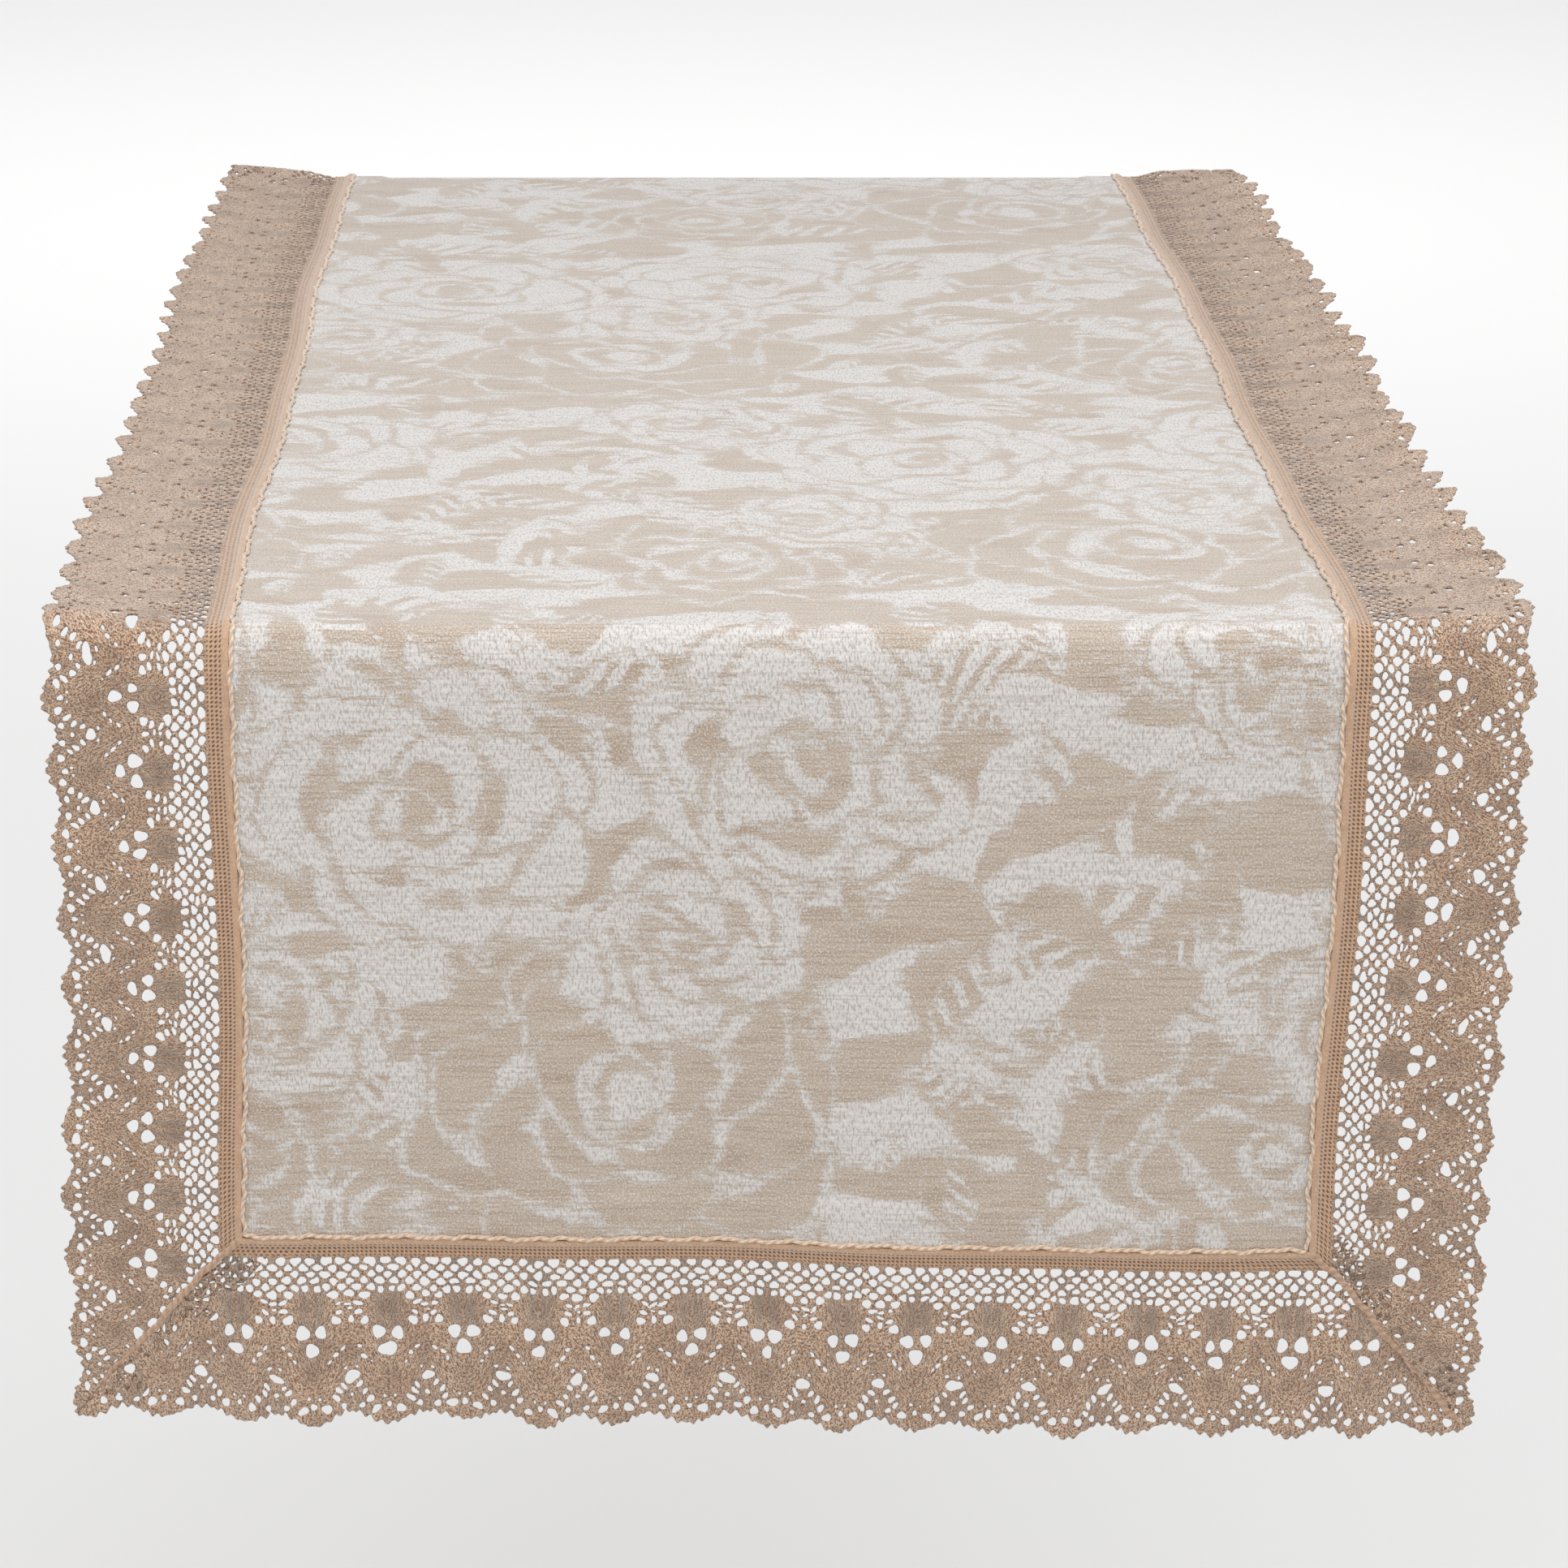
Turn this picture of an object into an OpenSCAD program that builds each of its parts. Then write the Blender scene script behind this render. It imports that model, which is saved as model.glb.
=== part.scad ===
// Table runner: a jacquard panel with bobbin lace sewn round it, draped over a table top.
// The cloth lies flat, turns over the table's front and back edges, and hangs down at both ends.
// Millimetres. X runs across the runner, Y along it (front is -Y) and Z up. The origin is the
// centre of the flat stretch's underside, which is the face that rests on the table.

/* [Table top] */
// Distance between the table edges that the runner hangs over
table_depth = 569; // [400:1:900]
// Radius of the cloth's inner face where it turns over a table edge
fold_r = 4; // [2:0.5:8]

/* [Panel] */
// Width of the jacquard between the two side laces
panel_w = 304; // [200:1:500]
// Length of jacquard that hangs below the table's face at each end
panel_drop = 183; // [80:1:300]
// Thickness of one layer of jacquard
cloth_t = 0.6; // [0.4:0.05:0.8]
// Width of the hem, where the cloth is turned under and lies double
hem_w = 12; // [6:1:20]

/* [Lace] */
// Width of the side lace from the panel's edge to the tips of its scallops
side_lace_w = 51; // [35:1:70]
// Length of the end lace from the panel's edge to its tips, with the net pulled open by its weight
end_lace_w = 59; // [40:1:75]
// Width of the plain woven heading band along the lace's inner edge
band_w = 7; // [5:0.5:10]
// Thickness of the woven heading band
band_t = 0.8; // [0.5:0.1:1.2]
// Thickness of the knotted and plaited lace
lace_t = 1.2; // [0.8:0.1:1.6]
// Length of one scallop of the outer edge
scallop_l = 22; // [15:0.5:30]
// Depth of the valley between two scallops
scallop_depth = 4; // [2:0.5:6]

/* [Sewing] */
// How far the hem reaches under the heading band
lap = 2.4; // [1:0.2:4]
// Width of the raised line of stitches along the heading band's inner edge
stitch_w = 0.8; // [0.4:0.1:1.2]
// Width of the lace that is turned back behind each mitred corner
allowance_w = 14; // [8:1:18]

/* [Hidden] */
$fn = 96;

LEFT = -1;
RIGHT = 1;
FRONT = -1;
BACK = 1;

joint_gap = 0.3;              // between a fold and the drop that turns with the joint
hem_t = 2 * cloth_t;          // two layers of cloth
half_w = panel_w / 2;
flat_half = table_depth / 2 - fold_r;
drop_start = fold_r + joint_gap;
lap_top = hem_t + band_t;     // top of the band where it laps over the hem
seam_h = 1;                   // height of a raised line of stitches
edge_steps = 6;               // straight pieces to one scallop

// Corners of the mitre on a drop, as [across, down]: where it leaves the panel, where it
// leaves the heading bands, and the lace's outer corner.
end_band_w = band_w - 0.5;
mitre_panel = [half_w, panel_drop];
mitre_band = [half_w + band_w, panel_drop + end_band_w];
mitre_tip = [half_w + side_lace_w, panel_drop + end_lace_w];

// Colours of the four kinds of cloth and thread
jacquard = "#e2ddd4";
jacquard_under = "#cfc6b8";
heading = "#c9a98c";
thread = "#d2b79d";

// How far the outer edge of the lace lies inside its tips, at a distance v from a tip
function valley(v, pitch) = scallop_depth * (1 - cos(360 * v / pitch)) / 2;
// The pitch nearest to scallop_l that divides a length into whole scallops
function pitch_for(length) = length / max(1, round(length / scallop_l));
// Points along a scalloped edge: [distance from its start, distance inside the tips]
function scalloped(length) =
    let(pitch = pitch_for(length), step = pitch / edge_steps)
    [for (i = [0 : round(length / step)]) [i * step, valley(i * step, pitch)]];
// Points of [across, down] pairs as they lie on a drop, where down is -Y of the drop's own plane
function down(points) = [for (p = points) [p[0], -p[1]]];

module on_side(side) {
    if (side == LEFT) mirror([1, 0, 0]) children();
    else children();
}

// Stands children that lie in the XY plane, with -Y down the cloth and +Z out of its face,
// against the table's front or back face.
module on_drop(end) {
    mirror([0, end == BACK ? 1 : 0, 0])
        translate([0, -table_depth / 2, 0])
            rotate([90, 0, 0]) children();
}

// A strip along the flat stretch, from x0 to x1 across and from z0 to z1 in height
module flat_strip(x0, x1, z0, z1) {
    translate([x0, -flat_half, z0]) cube([x1 - x0, 2 * flat_half, z1 - z0]);
}

// A strip down a drop, from across x0 to x1, from down s0 to s1, and from h0 to h1 off the table
module drop_strip(x0, x1, s0, s1, h0, h1) {
    translate([x0, -s1, h0]) cube([x1 - x0, s1 - s0, h1 - h0]);
}

// A plate on a drop with an outline of [across, down] points, from h0 to h1 off the table
module drop_plate(points, h0, h1) {
    translate([0, 0, h0]) linear_extrude(h1 - h0) polygon(down(points));
}

// A quarter turn over the table's edge, of a strip from x0 to x1 across and h0 to h1 in depth
module fold_strip(end, x0, x1, h0, h1) {
    mirror([0, end == BACK ? 1 : 0, 0])
        translate([0, -flat_half, -fold_r])
            rotate(a = 180, v = [1, 0, 1])
                rotate_extrude(angle = 90)
                    translate([fold_r + h0, x0]) square([h1 - h0, x1 - x0]);
}

// ---- Flat stretch on the table ----

module panel_top() {
    color(jacquard) flat_strip(-half_w + hem_w, half_w - hem_w, 0, cloth_t);
}

module hem_top(side) {
    color(jacquard_under) on_side(side) flat_strip(half_w - hem_w, half_w + lap, 0, hem_t);
}

// Cross-section of the heading band: it lies on the hem at its inner edge and on the table beyond it
module band_section(width) {
    polygon([
        [0, hem_t], [lap, hem_t], [lap, 0], [width, 0],
        [width, band_t], [lap + band_t, band_t], [lap + band_t, lap_top], [0, lap_top]
    ]);
}

module band_top(side) {
    color(heading) on_side(side)
        translate([half_w, flat_half, 0])
            rotate([90, 0, 0]) linear_extrude(2 * flat_half) band_section(band_w);
}

module lace_top(side) {
    edge = [for (p = scalloped(2 * flat_half)) [side_lace_w - p[1], p[0]]];
    color(thread) on_side(side)
        translate([half_w, -flat_half, 0])
            linear_extrude(lace_t)
                polygon(concat([[band_w, 2 * flat_half], [band_w, 0]], edge));
}

module stitches_top(side) {
    color(thread) on_side(side) flat_strip(half_w - stitch_w, half_w, hem_t, hem_t + seam_h);
}

// ---- Folds over the table's edges ----

module panel_fold(end) {
    color(jacquard) fold_strip(end, -half_w - lap, half_w + lap, 0, cloth_t);
}

module lace_fold(side, end) {
    color(thread) on_side(side)
        fold_strip(end, half_w + lap, half_w + side_lace_w - scallop_depth / 2, 0, band_t);
}

// ---- Drops ----

module panel_drop_piece(end) {
    inner = half_w - hem_w;
    color(jacquard) on_drop(end)
        drop_strip(-inner, inner, drop_start, panel_drop - hem_w, 0, cloth_t);
}

module hem_side(side, end) {
    color(jacquard_under) on_drop(end) on_side(side)
        drop_strip(half_w - hem_w, half_w + lap, drop_start, panel_drop + lap, 0, hem_t);
}

module hem_end(end) {
    inner = half_w - hem_w;
    color(jacquard_under) on_drop(end)
        drop_strip(-inner, inner, panel_drop - hem_w, panel_drop + lap, 0, hem_t);
}

module band_side(side, end) {
    outline = [[half_w, drop_start], mitre_panel, mitre_band, [half_w + band_w, drop_start]];
    color(heading) on_drop(end) on_side(side)
        intersection() {
            translate([half_w, 0, 0]) rotate([90, 0, 0])
                linear_extrude(panel_drop + end_band_w) band_section(band_w);
            drop_plate(outline, 0, lap_top);
        }
}

module band_end(end) {
    outline = [
        [-mitre_panel[0], mitre_panel[1]], mitre_panel,
        mitre_band, [-mitre_band[0], mitre_band[1]]
    ];
    color(heading) on_drop(end)
        intersection() {
            translate([mitre_band[0], -panel_drop, 0]) rotate([90, 0, -90])
                linear_extrude(2 * mitre_band[0]) band_section(end_band_w);
            drop_plate(outline, 0, lap_top);
        }
}

module lace_side(side, end) {
    hang = mitre_tip[1] - drop_start;
    edge = [for (p = scalloped(hang)) [mitre_tip[0] - p[1], mitre_tip[1] - p[0]]];
    inner = [[half_w + band_w, drop_start], mitre_band];
    color(thread) on_drop(end) on_side(side)
        drop_plate(concat(inner, edge), 0, lace_t);
}

module lace_end(end) {
    edge = [for (p = scalloped(2 * mitre_tip[0])) [mitre_tip[0] - p[0], mitre_tip[1] - p[1]]];
    inner = [[-mitre_band[0], mitre_band[1]], mitre_band];
    color(thread) on_drop(end)
        drop_plate(concat(inner, edge), 0, lace_t);
}

module stitches_side(side, end) {
    color(thread) on_drop(end) on_side(side)
        drop_strip(half_w - stitch_w, half_w, drop_start, panel_drop, hem_t, hem_t + seam_h);
}

module stitches_end(end) {
    inner = half_w - stitch_w;
    color(thread) on_drop(end)
        drop_strip(-inner, inner, panel_drop - stitch_w, panel_drop, hem_t, hem_t + seam_h);
}

// A strip along the mitred corner of the lace, between the mitre and its copy moved by a step
module mitre_strip(step, h0, h1) {
    near_tip = mitre_band + (mitre_tip - mitre_band) * 0.92;
    drop_plate([mitre_band, near_tip, near_tip + step, mitre_band + step], h0, h1);
}

// Lace turned back behind the corner, on the side towards the table. The lace is sewn round the
// cloth one way, so two turnings lie behind an end lace, and two behind a side lace.
module allowance(side, end) {
    behind_end = (side == LEFT) == (end == FRONT);
    step = behind_end ? [-allowance_w, 0] : [0, -allowance_w];
    color(thread) on_drop(end) on_side(side) mitre_strip(step, -lace_t, 0);
}

module mitre_seam(side, end) {
    color(heading) on_drop(end) on_side(side)
        mitre_strip([0, -1.2 * stitch_w], lace_t, lace_t + seam_h);
}

panel_top();
hem_top(LEFT);  // hem_left_top
hem_top(RIGHT);  // hem_right_top
band_top(LEFT);  // band_left_top
band_top(RIGHT);  // band_right_top
lace_top(LEFT);  // lace_left_top
lace_top(RIGHT);  // lace_right_top
stitches_top(LEFT);  // stitches_left_top
stitches_top(RIGHT);  // stitches_right_top

panel_fold(FRONT);  // panel_fold_front
lace_fold(LEFT, FRONT);  // lace_fold_left_front
lace_fold(RIGHT, FRONT);  // lace_fold_right_front
panel_fold(BACK);  // panel_fold_back
lace_fold(LEFT, BACK);  // lace_fold_left_back
lace_fold(RIGHT, BACK);  // lace_fold_right_back

panel_drop_piece(FRONT);  // panel_front
hem_side(LEFT, FRONT);  // hem_left_front
hem_side(RIGHT, FRONT);  // hem_right_front
hem_end(FRONT);  // hem_end_front
band_side(LEFT, FRONT);  // band_left_front
band_side(RIGHT, FRONT);  // band_right_front
band_end(FRONT);  // band_end_front
lace_side(LEFT, FRONT);  // lace_left_front
lace_side(RIGHT, FRONT);  // lace_right_front
lace_end(FRONT);  // lace_end_front
stitches_side(LEFT, FRONT);  // stitches_left_front
stitches_side(RIGHT, FRONT);  // stitches_right_front
stitches_end(FRONT);  // stitches_end_front
allowance(LEFT, FRONT);  // allowance_left_front
allowance(RIGHT, FRONT);  // allowance_right_front
mitre_seam(LEFT, FRONT);  // mitre_seam_left_front
mitre_seam(RIGHT, FRONT);  // mitre_seam_right_front

panel_drop_piece(BACK);  // panel_back
hem_side(LEFT, BACK);  // hem_left_back
hem_side(RIGHT, BACK);  // hem_right_back
hem_end(BACK);  // hem_end_back
band_side(LEFT, BACK);  // band_left_back
band_side(RIGHT, BACK);  // band_right_back
band_end(BACK);  // band_end_back
lace_side(LEFT, BACK);  // lace_left_back
lace_side(RIGHT, BACK);  // lace_right_back
lace_end(BACK);  // lace_end_back
stitches_side(LEFT, BACK);  // stitches_left_back
stitches_side(RIGHT, BACK);  // stitches_right_back
stitches_end(BACK);  // stitches_end_back
allowance(LEFT, BACK);  // allowance_left_back
allowance(RIGHT, BACK);  // allowance_right_back
mitre_seam(LEFT, BACK);  // mitre_seam_left_back
mitre_seam(RIGHT, BACK);  // mitre_seam_right_back
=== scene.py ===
"""A jacquard table runner edged with bobbin lace, as it lies over a table top that isn't part of the model.

Cloth coordinates are in millimetres: x across the runner, t along it from its middle (front is
negative) and n off the side that faces the table. drape() turns them into places in the row frame.
"""
import math

import bpy
import numpy as np
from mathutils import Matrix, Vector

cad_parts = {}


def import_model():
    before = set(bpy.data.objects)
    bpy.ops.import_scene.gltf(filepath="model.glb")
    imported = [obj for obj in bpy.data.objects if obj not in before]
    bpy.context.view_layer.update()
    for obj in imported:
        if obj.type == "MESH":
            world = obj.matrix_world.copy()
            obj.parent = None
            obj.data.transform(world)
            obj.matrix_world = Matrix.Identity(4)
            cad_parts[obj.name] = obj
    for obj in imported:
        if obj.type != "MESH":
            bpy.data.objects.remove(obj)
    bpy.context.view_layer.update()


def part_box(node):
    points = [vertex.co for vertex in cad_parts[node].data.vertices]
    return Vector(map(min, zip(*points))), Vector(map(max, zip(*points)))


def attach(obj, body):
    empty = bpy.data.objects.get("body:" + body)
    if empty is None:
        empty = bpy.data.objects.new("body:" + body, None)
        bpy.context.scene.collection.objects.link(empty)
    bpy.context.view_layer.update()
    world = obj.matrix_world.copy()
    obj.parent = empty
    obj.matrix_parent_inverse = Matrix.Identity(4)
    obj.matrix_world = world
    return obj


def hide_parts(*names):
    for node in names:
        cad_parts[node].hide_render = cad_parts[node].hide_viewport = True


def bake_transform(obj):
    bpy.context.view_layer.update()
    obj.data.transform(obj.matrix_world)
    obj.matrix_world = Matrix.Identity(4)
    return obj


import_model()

MM = 0.001
LEFT, RIGHT = -1, 1
FRONT, BACK = -1, 1
SIDE_NAME = {LEFT: "left", RIGHT: "right"}
END_NAME = {FRONT: "front", BACK: "back"}
rng = np.random.default_rng(7)


def corner_name(side, end):
    return f"{SIDE_NAME[side]}_{END_NAME[end]}"


def reach(node, high, axis):
    """One coordinate of a CAD node's box in millimetres: the lowest, or the highest with high = 1."""
    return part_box(node)[high][axis] / MM


# ---- Sizes, from the frame ----

HALF_W = reach("stitches_right_top", 1, 0)             # panel's edge, from the middle
FLAT_HALF = reach("panel_top", 1, 1)                   # where the cloth starts to turn down
FOLD_R = reach("panel_back", 0, 1) - FLAT_HALF         # radius of the cloth's inner face
CLOTH_T = reach("panel_top", 1, 2)                     # one layer of jacquard
HEM_T = reach("hem_right_top", 1, 2)                   # the two layers of a hem
HEM_W = HALF_W - reach("panel_top", 1, 0)
LAP = reach("hem_right_top", 1, 0) - HALF_W            # hem under the heading band
BAND_W = reach("band_right_top", 1, 0) - HALF_W
LACE_W = reach("lace_right_top", 1, 0) - HALF_W
PANEL_DROP = -reach("stitches_end_front", 0, 2)
END_BAND_W = -reach("band_end_front", 0, 2) - PANEL_DROP
END_LACE_W = -reach("lace_end_front", 0, 2) - PANEL_DROP

FOLD_MID_R = FOLD_R + CLOTH_T / 2
FOLD_LENGTH = FOLD_MID_R * math.pi / 2
PANEL_END = FLAT_HALF + FOLD_LENGTH + PANEL_DROP - FOLD_R   # cloth from the middle to an end
SPLIT = FLAT_HALF - 8                                       # where the drops' pieces start

REPEAT = 22.0          # length that the lace's holes are laid out for
ROUNDING = 0.5         # how far in from a hole a thread reaches its full height
SIDE_PITCH = 21.9
END_PITCH = 21.7
SIDE_PHASE = {LEFT: 10.3, RIGHT: 6.9}   # from the panel's end to the last scallop's tip
END_PHASE = -3.3                        # a tip's place across the end lace


# ---- The shape of the draped cloth ----

def ramp(value, start, end):
    """0 at start, 1 at end, smooth in between."""
    w = np.clip((value - start) / (end - start), 0, 1)
    return w * w * (3 - 2 * w)


def drift(x, t):
    """How far the cloth wanders sideways: its edges aren't quite straight."""
    right = 0.9 * np.sin(t / 57 + 0.4) + 0.5 * np.sin(t / 19 + 2.0)
    left = 0.9 * np.sin(t / 49 + 2.6) + 0.5 * np.sin(t / 22 + 0.5)
    return np.abs(x) / HALF_W * np.where(x > 0, right, left)


def ripple(x, t):
    """How far the cloth stands off its flat shape: little on the table, more down the drops."""
    past = np.abs(t) - FLAT_HALF
    hang = ramp(past, 10, 190)
    waves = 1.2 * np.sin(x / 33 + 0.6 * np.sign(t)) + 0.7 * np.sin(x / 14.5 + t / 70)
    lying = 0.18 * (1 + np.sin(x / 24 + t / 41)) * ramp(-past, 4, 40)
    return hang * (1.4 + waves) + lying


BEND_STEP = 0.1
BEND = np.arange(0, 300, BEND_STEP)            # cloth lengths past the start of the fold
SOFTNESS = 6.0                                 # 63 % of the turn is made in this length
TILT = math.pi / 2 * (1 - np.exp(-BEND / SOFTNESS))
BEND_OUT = np.cumsum(np.cos(TILT)) * BEND_STEP
BEND_DOWN = np.cumsum(np.sin(TILT)) * BEND_STEP
SAG = 3.0                                      # how far a drop's edges hang lower on its one side


def drape(x, t, n):
    """Places in the row frame, in metres, of points of the cloth.

    It first turns down round the table's rounded edge, and then ever more slowly towards the
    vertical."""
    n = n + ripple(x, t)
    past = np.maximum(np.abs(t) - FLAT_HALF, 0)
    sag = ramp(past, 30, 190) * SAG * x / HALF_W
    tilt = np.where(past > 0, np.interp(past, BEND, TILT), 0)
    out = np.minimum(np.abs(t), FLAT_HALF) + np.interp(past, BEND, BEND_OUT) + n * np.sin(tilt)
    up = n * np.cos(tilt) - np.interp(past, BEND, BEND_DOWN) - sag
    return np.stack([x + drift(x, t), np.sign(t) * out, up], axis=-1) * MM


def end_reach(u):
    """How far below the panel the end lace's point u hangs: its net is pulled open by its weight."""
    stretch = (END_LACE_W - END_BAND_W) / (LACE_W - BAND_W)
    return np.where(u < BAND_W, u * END_BAND_W / BAND_W, END_BAND_W + (u - BAND_W) * stretch)


def mitre_t(u):
    """The cloth length at which the mitre crosses the side lace's line u."""
    return PANEL_END + end_reach(u)


def place_side(side):
    """A function that drapes lace coordinates (u out from the panel's edge, v along) on a side."""
    return lambda u, v, n: drape(side * (HALF_W + u), v, n)


def place_end(end):
    return lambda u, v, n: drape(v, end * (PANEL_END + end_reach(u)), n)


# ---- Meshes ----

def closed_outwards(points, triangles):
    """The triangles of a closed mesh, turned so that its faces look outwards."""
    a, b, c = (points[triangles[:, i]] for i in range(3))
    volume = np.einsum("ij,ij->i", a, np.cross(b, c)).sum()
    return triangles if volume > 0 else triangles[:, ::-1]


def put_in_scene(name, data, location=(0, 0, 0), rotation=(0, 0, 0)):
    thing = bpy.data.objects.new(name, data)
    thing.location = location
    thing.rotation_euler = rotation
    bpy.context.scene.collection.objects.link(thing)
    return thing


def make_piece(name, points, triangles, materials, attributes, material_index=None):
    mesh = bpy.data.meshes.new(name)
    triangles = closed_outwards(points, triangles)
    mesh.vertices.add(len(points))
    mesh.vertices.foreach_set("co", points.astype(np.float32).ravel())
    mesh.loops.add(triangles.size)
    mesh.loops.foreach_set("vertex_index", triangles.astype(np.int32).ravel())
    mesh.polygons.add(len(triangles))
    mesh.polygons.foreach_set("loop_start", np.arange(0, triangles.size, 3, dtype=np.int32))
    for material in materials:
        mesh.materials.append(material)
    if material_index is not None:
        mesh.polygons.foreach_set("material_index", material_index.astype(np.int32))
    mesh.update(calc_edges=True)
    mesh.shade_smooth()
    for key, values in attributes.items():
        kind, field = ("FLOAT_VECTOR", "vector") if values.ndim == 2 else ("FLOAT", "value")
        data = mesh.attributes.new(key, kind, "POINT").data
        data.foreach_set(field, values.astype(np.float32).ravel())
    return put_in_scene(name, mesh)


def between_columns(ids, after):
    """Two triangles for each square between columns of points and the columns after them."""
    a, b, c, d = (w.ravel() for w in (ids[:-1], ids[1:], after[1:], after[:-1]))
    return np.concatenate([np.stack([a, b, c], 1), np.stack([a, c, d], 1)])


def grid_triangles(rows, columns):
    ids = np.arange(rows * columns).reshape(rows, columns)
    return between_columns(ids[:, :-1], ids[:, 1:])


def fan(fine, coarse, ratio):
    """Triangles between a row of points and another with ratio times fewer steps."""
    triangles = []
    for k in range(len(coarse) - 1):
        j = k * ratio
        half = j + ratio // 2
        triangles += [(fine[i], fine[i + 1], coarse[k]) for i in range(j, half)]
        triangles.append((fine[half], coarse[k + 1], coarse[k]))
        triangles += [(fine[i], fine[i + 1], coarse[k + 1]) for i in range(half, j + ratio)]
    return np.array(triangles)


def slab(name, a, b, low, high, place, materials, attributes, ratio=1):
    """A thin closed plate over the grid of cloth coordinates a, b, between the heights low and high.

    Its underside has ratio times fewer columns than its top."""
    top = grid_triangles(*a.shape)
    ids = np.arange(a.size).reshape(a.shape)
    kept = ids[:, ::ratio]
    below = np.arange(kept.size).reshape(kept.shape) + ids.size
    under = grid_triangles(*kept.shape)[:, ::-1] + ids.size
    sides = [
        fan(ids[0], below[0], ratio)[:, ::-1],
        fan(ids[-1], below[-1], ratio),
        fan(ids[:, 0], below[:, 0], 1),
        fan(ids[:, -1], below[:, -1], 1)[:, ::-1],
    ]
    triangles = np.concatenate([top, under] + sides)
    points = np.concatenate([
        place(a.ravel(), b.ravel(), high.ravel()),
        place(a[:, ::ratio].ravel(), b[:, ::ratio].ravel(), low[:, ::ratio].ravel()),
    ])
    doubled = {k: np.concatenate([v, v[kept.ravel()]]) for k, v in attributes.items()}
    index = np.zeros(len(triangles))
    index[len(top):len(top) + len(under)] = len(materials) - 1
    piece = make_piece(name, points, triangles, materials, doubled, index)
    piece.data.set_sharp_from_angle(angle=math.radians(60))
    return piece


def steps(start, end, size):
    """Evenly spaced values from start to end, about size apart."""
    return np.linspace(start, end, max(2, round(abs(end - start) / size) + 1))


# ---- The bobbin lace ----

NET_COLUMN = 1.8       # from one column of the net's holes to the next
NET_PITCH = REPEAT / 5  # along a column, from one hole to the next
NET_HOLE = 1.04        # half the width of a hole
NET_FIRST_HOLE = 1.16  # the same in the column beside the heading band
SPIDER_U = 19.9        # centres of the spiders, solid round spots in the net
EYE_TIP_U = 37.4       # centres of the ringed eyes in the dense trail
EYE_VALLEY_U = 31.0
VALLEY = REPEAT / 2
BAR = 0.66             # least width of the threads between two holes
SLACK_LOSS = 0.38      # share of a hole's size that is lost where the lace isn't stretched
LACE_GRID = 0.5

# Holes: out from the panel, along from the tip or valley, half sizes out and along, turn in degrees
TIP_HOLES = [(31.3, 0, 1.6, 2.1, 0), (46.3, 0, 0.95, 0.8, 0)]
TIP_PAIRS = [
    (26.9, 2.7, 1.65, 1.8, 10),
    (32.8, 6.6, 0.5, 1.0, 40),
    (30.9, 8.3, 0.45, 0.9, 35),
    (15.4, 2.0, 1.0, 1.35, 30),
    (23.6, 6.9, 1.05, 1.4, -25),
    (21.7, 8.2, 0.6, 1.25, -15),
    (19.3, 8.6, 0.5, 1.5, -10),
    (34.6, 4.9, 0.4, 0.75, 45),
    (36.3, 9.3, 0.4, 0.7, 30),
    (44.2, 1.4, 0.5, 0.45, 0),
]
VALLEY_HOLES = [
    (38.6, 0, 1.35, 2.35, 0),
    (43.2, 0, 0.6, 0.75, 0),
    (23.3, 0, 1.0, 0.75, 0),
    (19.6, 0, 0.5, 1.9, 0),
    (20.9, 0.3, 0.35, 1.2, 0),
]
VALLEY_PAIRS = [
    (40.9, 2.4, 0.6, 1.15, 50),
    (42.6, 3.8, 0.65, 1.2, 50),
    (44.6, 5.2, 0.7, 1.25, 45),
    (47.1, 7.2, 1.05, 1.5, 20),
    (46.3, 2.7, 0.8, 0.95, 0),
]


def net_end(v):
    """How far out the net's holes reach, at a distance v from a scallop's tip."""
    return 13.9 + 4.6 * min(max((abs(v) - 2) / 6, 0), 1)


def net_holes():
    """The net between the heading band and the spiders: staggered columns of diamonds."""
    holes = []
    for column in range(7):
        u = BAND_W + 1.15 + column * NET_COLUMN
        size = NET_FIRST_HOLE if column == 0 else NET_HOLE
        for row in range(5):
            v = (row - 2 + column % 2 / 2) * NET_PITCH
            if u < net_end(v):
                holes.append((u, v, size, 1.4 * size, 0))
    return holes


def scallop_holes():
    """Every hole of one scallop of the lace, along from its tip."""
    holes = TIP_HOLES + net_holes()
    for u, v, a, b, turn in TIP_PAIRS:
        holes += [(u, v, a, b, turn), (u, -v, a, b, -turn)]
    for u, v, a, b, turn in VALLEY_HOLES:
        holes.append((u, VALLEY + v, a, b, turn))
    for u, v, a, b, turn in VALLEY_PAIRS:
        holes += [(u, VALLEY + v, a, b, turn), (u, VALLEY - v, a, b, -turn)]
    return holes


def outside_oval(du, dv, a, b, turn, power, phase):
    """How far outside an uneven oval a point lies, along the line to its centre: negative inside."""
    c, s = math.cos(turn), math.sin(turn)
    p, q = c * du + s * dv, c * dv - s * du
    r = np.hypot(p, q) + 1e-6
    corners = 1 + 0.1 * np.cos(3 * np.arctan2(q, p) + phase)
    return r - r * corners / ((np.abs(p) / a) ** power + (np.abs(q) / b) ** power) ** (1 / power)


def outer_edge(v):
    """The lace's scalloped edge with its knotty picots, v along from a scallop's tip."""
    picot = 0.8 * np.abs(np.cos(6 * math.pi * v / REPEAT + 0.5 * np.sin(v / 9.7)))
    knots = 0.4 * np.sin(2.3 * v + 1.4 * np.sin(0.31 * v)) + 0.3 * np.sin(0.37 * v)
    return 49.2 + 1.6 * np.cos(2 * math.pi * v / REPEAT) + picot + knots


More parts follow.
